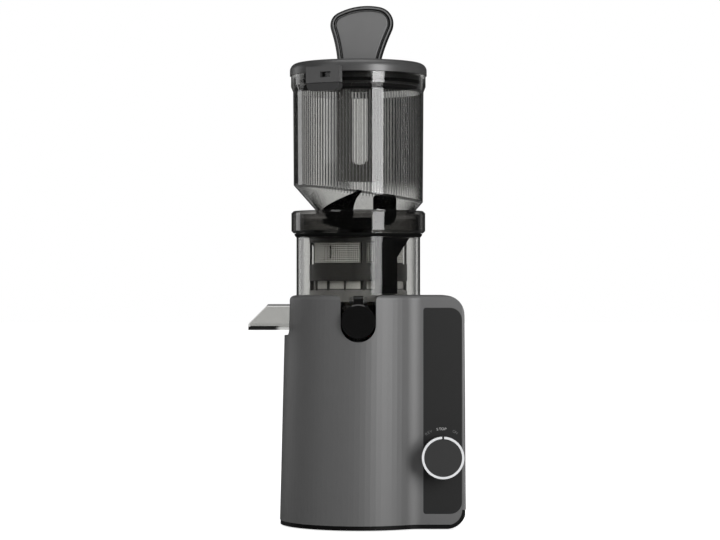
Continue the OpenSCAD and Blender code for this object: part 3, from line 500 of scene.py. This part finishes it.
def make_paddle():
    """The paddle with a rounded rim, a raised bead and a groove round its flat face."""
    outline = smoothed(paddle_outline(), SMOOTHING)
    profile = [(d, -y) for d, y in reversed(PADDLE_RIM)] + PADDLE_RIM
    n, rows = len(outline), len(profile)
    points = [(x, y, z) for distance, y in profile for x, z in inset_outline(outline, distance)]
    faces = [(j * n + i, j * n + i + 1, (j + 1) * n + i + 1, (j + 1) * n + i)
             for j in range(rows - 1) for i in range(n - 1)]
    front, back = range(n), range((rows - 1) * n, rows * n)
    foot = [j * n for j in range(rows)] + [j * n + n - 1 for j in reversed(range(rows))]
    flat = [tuple(reversed(front)), tuple(back), tuple(foot)]
    piece = new_piece("pusher_paddle", points, faces + flat, "handle_grey", "pusher")
    for polygon in piece.data.polygons[-len(flat):]:
        polygon.use_smooth = False
    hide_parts("pusher_handle")


# ------------------------------------------------------------------ strainer screen

SCREEN = {"r": 42.2, "thickness": 0.4, "pitch": 1.95, "bar": 0.8, "turn": 6.7, "ribs": 16,
          "windows": [(223.5, 245.5), (248.0, 268.0)], "bays": 4, "bay_from": 4, "bay_width": 82,
          "plain_below": 232.0, "slot": (251.0, 264.0), "slot_half": 0.8}


def in_slot(angle, z):
    """Whether a cell of the sheet lies in one of the upright slots between the ribs."""
    step = 360 / SCREEN["ribs"]
    off = (angle - SCREEN["turn"] + step / 2) % step - step / 2
    low, high = SCREEN["slot"]
    return abs(math.radians(off)) * SCREEN["r"] < SCREEN["slot_half"] and low < z < high


def perforate(points, faces, angles, heights):
    """Add a patch of the sheet with a square hole in each cell, plain low down."""
    r, half_bar = SCREEN["r"], SCREEN["bar"] / 2
    bar_angle = math.degrees(half_bar / r)

    def corner(angle, z):
        a = math.radians(angle)
        points.append((r * math.cos(a), r * math.sin(a), z))
        return len(points) - 1

    grid = [[corner(angle, z) for angle in angles] for z in heights]
    for j, (b0, b1) in enumerate(zip(heights, heights[1:])):
        for i, (a0, a1) in enumerate(zip(angles, angles[1:])):
            if in_slot((a0 + a1) / 2, (b0 + b1) / 2):
                continue
            outer = (grid[j][i], grid[j][i + 1], grid[j + 1][i + 1], grid[j + 1][i])
            if b1 < SCREEN["plain_below"]:
                faces.append(outer)
                continue
            left, right, low, high = a0 + bar_angle, a1 - bar_angle, b0 + half_bar, b1 - half_bar
            hole = ((left, low), (right, low), (right, high), (left, high))
            inner = [corner(angle, z) for angle, z in hole]
            faces += [(outer[k], outer[(k + 1) % 4], inner[(k + 1) % 4], inner[k])
                      for k in range(4)]


def make_screen():
    """Perforated steel sheet inside the strainer's frame, in four bays of each window."""
    points, faces = [], []
    width = SCREEN["bay_width"]
    for z0, z1 in SCREEN["windows"]:
        rows = round((z1 - z0) / SCREEN["pitch"])
        columns = round(math.radians(width) * SCREEN["r"] / SCREEN["pitch"])
        heights = [z0 + (z1 - z0) / rows * j for j in range(rows + 1)]
        for bay in range(SCREEN["bays"]):
            start = SCREEN["turn"] + SCREEN["bay_from"] + 360 / SCREEN["bays"] * bay
            angles = [start + width / columns * i for i in range(columns + 1)]
            perforate(points, faces, angles, heights)
    piece = new_piece("strainer_screen", points, faces, "strainer_steel", "bowl", smooth=False)
    solid = piece.modifiers.new("thickness", "SOLIDIFY")
    solid.thickness = SCREEN["thickness"] * MM
    solid.offset = -1
    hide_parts("strainer_mesh")


# ------------------------------------------------------------------ labels over the knob

# word, angle of its middle from twelve o'clock, finish
LABELS = [("REV", -30, "label_dim"), ("STOP", -2, "label_bright"), ("ON", 28, "label_dim")]
LETTERS = {"r": 24.2, "size": 3.5, "step": 5.6, "lift": 0.04}


def letter_mesh(letter, turn, centre, front):
    """Points in millimetres and faces of one letter on the arc round the knob."""
    data = bpy.data.curves.new("letter", "FONT")
    data.body, data.size, data.align_x = letter, LETTERS["size"] * MM, "CENTER"
    obj = add_object("letter", data)
    obj.rotation_euler = (math.radians(90), turn, 0)
    out = LETTERS["r"] * MM
    obj.location = (centre[0] + out * math.sin(turn), front, centre[1] + out * math.cos(turn))
    bpy.context.view_layer.update()
    mesh = bpy.data.meshes.new_from_object(obj)
    points = [tuple(c / MM for c in obj.matrix_world @ v.co) for v in mesh.vertices]
    faces = [tuple(polygon.vertices) for polygon in mesh.polygons]
    bpy.data.meshes.remove(mesh)
    bpy.data.objects.remove(obj)
    bpy.data.curves.remove(data)
    return points, faces


def make_labels():
    """Generic words printed on the fascia, on an arc over the knob."""
    low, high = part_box("knob")
    centre = ((low.x + high.x) / 2, (low.z + high.z) / 2)
    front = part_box("control_fascia")[0].y - LETTERS["lift"] * MM
    for word, middle, material in LABELS:
        points, faces = [], []
        for i, letter in enumerate(word):
            turn = math.radians(middle + LETTERS["step"] * (i - (len(word) - 1) / 2))
            more_points, more_faces = letter_mesh(letter, turn, centre, front)
            faces += [tuple(len(points) + v for v in face) for face in more_faces]
            points += more_points
        new_piece("label_" + word.lower(), points, faces, material, "base", smooth=False)


# ------------------------------------------------------------------ studio

# the floor, in metres, its glow to the camera, and what mirrors see of it
FLOOR = {"half": 6.0, "back": 12.0, "clouds": 900, "tones": (tone(246), tone(250)),
         "rough": 0.9, "specular": 0.1, "glow": 0.8, "behind": (0.1, 0.5),
         "mirrored": (0.12, 0.12, 0.12, 1)}

# The world, by the direction of a ray as a unit vector. Each pair is a start and an end.
AMBIENT = 0.40
AMBIENT_SIDE_FRONT = (0.55, 1.9)
AHEAD = (0.1, 0.9)
INDOOR = 1.6
DIM_STUDIO = 0.04
GLASS_BACKDROP = (0.74, 0.88)
MIRROR_BACKDROP = (0.985, 0.998)

# Dark cards beside the backdrop, seen only through glass.
FLAG_LEFT = {"from": (0.0055, 0.0085), "dark": 0.95}
FLAG_RIGHT = {"from": (0.013, 0.017), "dark": 0.5}
FLAG_UP = (0.036, 0.044)

# name: azimuth from the camera's side to the right, elevation, then in metres the distance,
# width and height, and the power in watts
LAMPS = {
    "key": (34, 4, 1.7, 0.6, 1.6, 21),
    "fill": (-50, 20, 2.2, 1.0, 1.2, 3),
    "top": (0, 84, 1.6, 1.4, 0.9, 6),
    "rim": (-125, 4, 1.7, 0.45, 1.3, 2.8),
}
LAMP_TARGET = Vector((0, 0, 240)) * MM


def make_floor():
    """A white floor that runs far back; it keeps the object's shadow."""
    half, back = FLOOR["half"], FLOOR["back"]
    corners = [(-half, -half, 0), (half, -half, 0), (half, back, 0), (-half, back, 0)]
    mesh = bpy.data.meshes.new("floor")
    mesh.from_pydata(corners, [], [(0, 1, 2, 3)])
    floor = add_object("floor", mesh)

    material, graph, shader = new_material("floor_white")
    path = graph.add("ShaderNodeLightPath").outputs
    white = graph.blend(graph.noise(FLOOR["clouds"]), *FLOOR["tones"])
    graph.feed(shader["Base Color"], graph.blend(path["Is Glossy Ray"], white, FLOOR["mirrored"]))
    graph.feed(shader["Roughness"], FLOOR["rough"])
    graph.feed(shader["Specular IOR Level"], FLOOR["specular"])
    behind = graph.rising(graph.split(graph.geometry("Position"))[1], *FLOOR["behind"])
    shown = graph.largest(path["Is Camera Ray"], graph.times(path["Is Transmission Ray"], behind))
    glow = graph.add("ShaderNodeEmission", {"Strength": graph.times(shown, FLOOR["glow"])})
    nodes = material.node_tree.nodes
    total = graph.add("ShaderNodeAddShader", {0: nodes["Principled BSDF"].outputs[0],
                                              1: glow.outputs[0]})
    graph.feed(nodes["Material Output"].inputs["Surface"], total.outputs[0])
    finish_with(floor, material)


def make_world():
    """White for the camera. Through glass and in mirrors, a white backdrop in a dim studio."""
    world = bpy.data.worlds.new("studio")
    bpy.context.scene.world = world
    world.use_nodes = True
    graph = Graph(world.node_tree)
    background = world.node_tree.nodes["Background"].inputs
    background["Color"].default_value = (1, 1, 1, 1)
    path = graph.add("ShaderNodeLightPath").outputs
    camera, glossy, glass = (path[f"Is {ray} Ray"] for ray in ("Camera", "Glossy", "Transmission"))
    not_glass = graph.inverse(glass)
    x, y, z = graph.coords("Generated")

    left = graph.times(graph.rising(graph.times(x, -1.0), *FLAG_LEFT["from"]), FLAG_LEFT["dark"])
    right = graph.times(graph.rising(x, *FLAG_RIGHT["from"]), FLAG_RIGHT["dark"])
    flag = graph.times(graph.largest(left, right), graph.rising(z, *FLAG_UP))
    behind_glass = graph.times(graph.rising(y, *GLASS_BACKDROP), graph.inverse(flag))
    mirrored = graph.times(glossy, graph.rising(y, *MIRROR_BACKDROP))
    backdrop = graph.plus(graph.times(glass, behind_glass), graph.times(mirrored, not_glass))
    dim = graph.times(graph.largest(glossy, glass), DIM_STUDIO)

    scattered = graph.above(path["Diffuse Depth"], 0.5)
    ahead = graph.rising(graph.times(y, -1.0), *AHEAD)
    around = graph.times(graph.between(ahead, *AMBIENT_SIDE_FRONT), AMBIENT)
    ambient = graph.plus(graph.times(glass, INDOOR), graph.times(not_glass, around))
    soft = graph.times(scattered, ambient)
    direct = graph.times(graph.inverse(scattered), graph.largest(backdrop, dim))
    graph.feed(background["Strength"], graph.largest(camera, graph.plus(soft, direct)))


def softbox(name, azimuth, elevation, distance, width, height, power):
    """An area lamp that looks at the bowl."""
    data = bpy.data.lights.new(name, "AREA")
    data.shape = "RECTANGLE"
    data.size, data.size_y, data.energy = width, height, power
    lamp = add_object(name, data)
    a, e = math.radians(azimuth), math.radians(elevation)
    towards = Vector((math.sin(a) * math.cos(e), -math.cos(a) * math.cos(e), math.sin(e)))
    lamp.location = LAMP_TARGET + distance * towards
    aim(lamp, LAMP_TARGET)


# ------------------------------------------------------------------ build

make_camera()
MATERIALS = {name: maker(name, *look, **settings)
             for name, (maker, look, settings) in LIBRARY.items()}
for cad_name, cad_node in NODES.items():
    finish_with(cad_node, MATERIALS[OWN_LOOK.get(cad_name, SLOT_OF[cad_name])])
make_paddle()
make_screen()
make_labels()
make_world()
make_floor()
for lamp_name, settings in LAMPS.items():
    softbox(lamp_name, *settings)
bpy.context.scene.view_settings.view_transform = "Standard"
